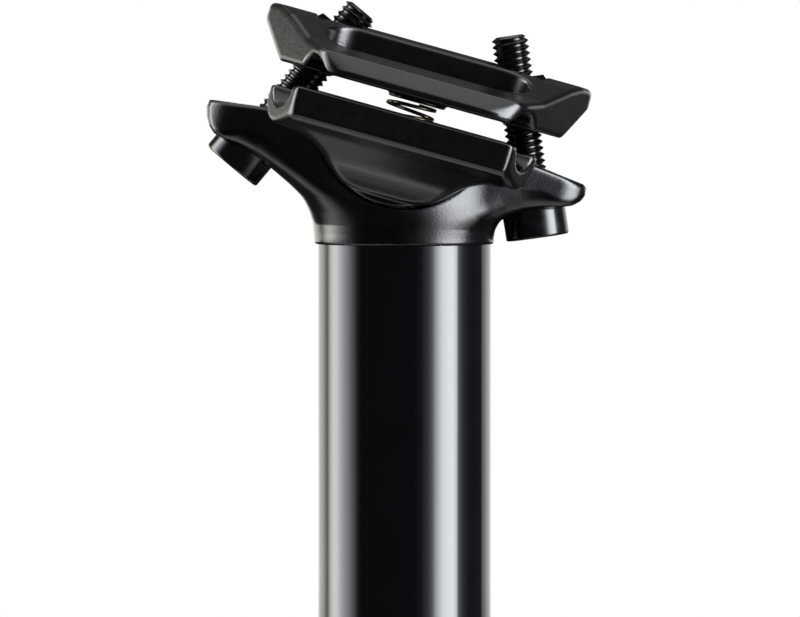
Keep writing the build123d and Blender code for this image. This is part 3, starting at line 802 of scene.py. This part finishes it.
def studio():
    """Light from two side lamps and a backdrop; the camera itself sees plain white."""
    world = bpy.data.worlds.new("studio")
    bpy.context.scene.world = world
    world.use_nodes = True
    tree = world.node_tree
    tree.nodes.clear()

    def vector(kind, a, b):
        n = tree.nodes.new("ShaderNodeVectorMath")
        n.operation = kind
        tree.links.new(a, n.inputs[0])
        tree.links.new(b, n.inputs[1])
        return n.outputs[0]

    coord = tree.nodes.new("ShaderNodeTexCoord")
    split = tree.nodes.new("ShaderNodeSeparateXYZ")
    tree.links.new(coord.outputs["Generated"], split.inputs[0])
    x, y, z = split.outputs
    bearing = math_node(tree, "ARCTAN2", x, math_node(tree, "MULTIPLY", y, -1.0))
    around = math_node(tree, "ADD", math_node(tree, "MULTIPLY", bearing, 0.5 / math.pi), 0.5)
    lift = math_node(tree, "ARCSINE", z)
    upward = math_node(tree, "ADD", math_node(tree, "MULTIPLY", lift, 1 / math.pi), 0.5)

    left = ramp(tree, upward, by_height((-50, 0.1), (-16, 0.2), (-5, 1), *LAMP_TOP))
    right = ramp(tree, upward, by_height((-48, 0.02), (-28, 0.12), (-8, 1), *LAMP_TOP))
    to_right = math_node(tree, "GREATER_THAN", x, 0.0)
    to_left = math_node(tree, "SUBTRACT", 1.0, to_right)
    heights = vector("ADD", vector("MULTIPLY", right, to_right), vector("MULTIPLY", left, to_left))
    lamps = vector("MULTIPLY", ramp(tree, around, SIDE_LAMPS), heights)
    band = ramp(tree, upward, by_height((-8, 0), (-5, 1), (8, 1), (11, 0)))
    walls = vector("ADD", lamps, vector("MULTIPLY", ramp(tree, around, BACKDROP), band))
    above = ramp(tree, upward, [(0.5 + 40 / 180, grey(0)), (0.5 + 60 / 180, (0.07, 0.07, 0.072)),
                                (1.0, (0.08, 0.08, 0.083))])
    below = ramp(tree, upward, by_height((-90, 0.05), (-64, 0.04), (-44, 0.002), (-14, 0)))
    total = vector("ADD", vector("ADD", walls, above), below)

    light = tree.nodes.new("ShaderNodeBackground")
    tree.links.new(total, light.inputs["Color"])
    light.inputs["Strength"].default_value = LIGHT
    plain = tree.nodes.new("ShaderNodeBackground")
    plain.inputs["Color"].default_value = (1, 1, 1, 1)
    path = tree.nodes.new("ShaderNodeLightPath")
    mix = tree.nodes.new("ShaderNodeMixShader")
    tree.links.new(path.outputs["Is Camera Ray"], mix.inputs[0])
    tree.links.new(light.outputs[0], mix.inputs[1])
    tree.links.new(plain.outputs[0], mix.inputs[2])
    out = tree.nodes.new("ShaderNodeOutputWorld")
    tree.links.new(mix.outputs[0], out.inputs["Surface"])
    bpy.context.scene.view_settings.view_transform = "Standard"


studio()


def paper():
    """Pale matt paper that only the camera sees, so that the light from below stays as set in the world."""
    mat = finish("floor_paper", (0.82, 0.82, 0.81), 0.8, mottle=0.02, coarse=20, grain=400, bump=0.1)
    tree = mat.node_tree
    path = tree.nodes.new("ShaderNodeLightPath")
    clear = tree.nodes.new("ShaderNodeBsdfTransparent")
    mix = tree.nodes.new("ShaderNodeMixShader")
    tree.links.new(path.outputs["Is Camera Ray"], mix.inputs[0])
    tree.links.new(clear.outputs[0], mix.inputs[1])
    tree.links.new(tree.nodes["Principled BSDF"].outputs[0], mix.inputs[2])
    tree.links.new(mix.outputs[0], tree.nodes["Material Output"].inputs["Surface"])
    return mat


def floor():
    """A round sheet just under the post, in metres."""
    size, rings, n = 0.7, 12, 96
    verts, faces = [], []
    for r in range(rings + 1):
        for i in range(n):
            a = 2 * math.pi * i / n
            verts.append((size * r / rings * math.cos(a), size * r / rings * math.sin(a), 0))
    for r in range(rings):
        for i in range(n):
            j = (i + 1) % n
            faces.append((r * n + i, r * n + j, (r + 1) * n + j, (r + 1) * n + i))
    obj = new_piece("studio_floor", verts, faces)
    obj.location.z = CAD_BOX[0].z - 0.0005
    clean(obj)
    obj.data.materials.append(paper())


floor()


# ------------------------------------------------------------------ camera
def camera():
    """A long lens a little above the rails, tilted slightly down, with the front to the right."""
    data = bpy.data.cameras.new("camera")
    obj = bpy.data.objects.new("camera", data)
    bpy.context.scene.collection.objects.link(obj)
    distance, width = 0.90, 0.1254              # width is what the frame spans at the post
    lift, aim = 0.024, -0.01013                 # heights of the lens and of its aim, from the collar
    obj.location = (-0.0007, -distance, (COLLAR + PIVOT[2]) * MM + lift)
    obj.rotation_euler = (math.radians(90) - math.atan((lift - aim) / distance), 0, 0)
    data.sensor_width = 36
    data.lens = data.sensor_width * math.hypot(distance, lift - aim) / width
    data.clip_start, data.clip_end = 0.05, 20
    bpy.context.scene.camera = obj


camera()
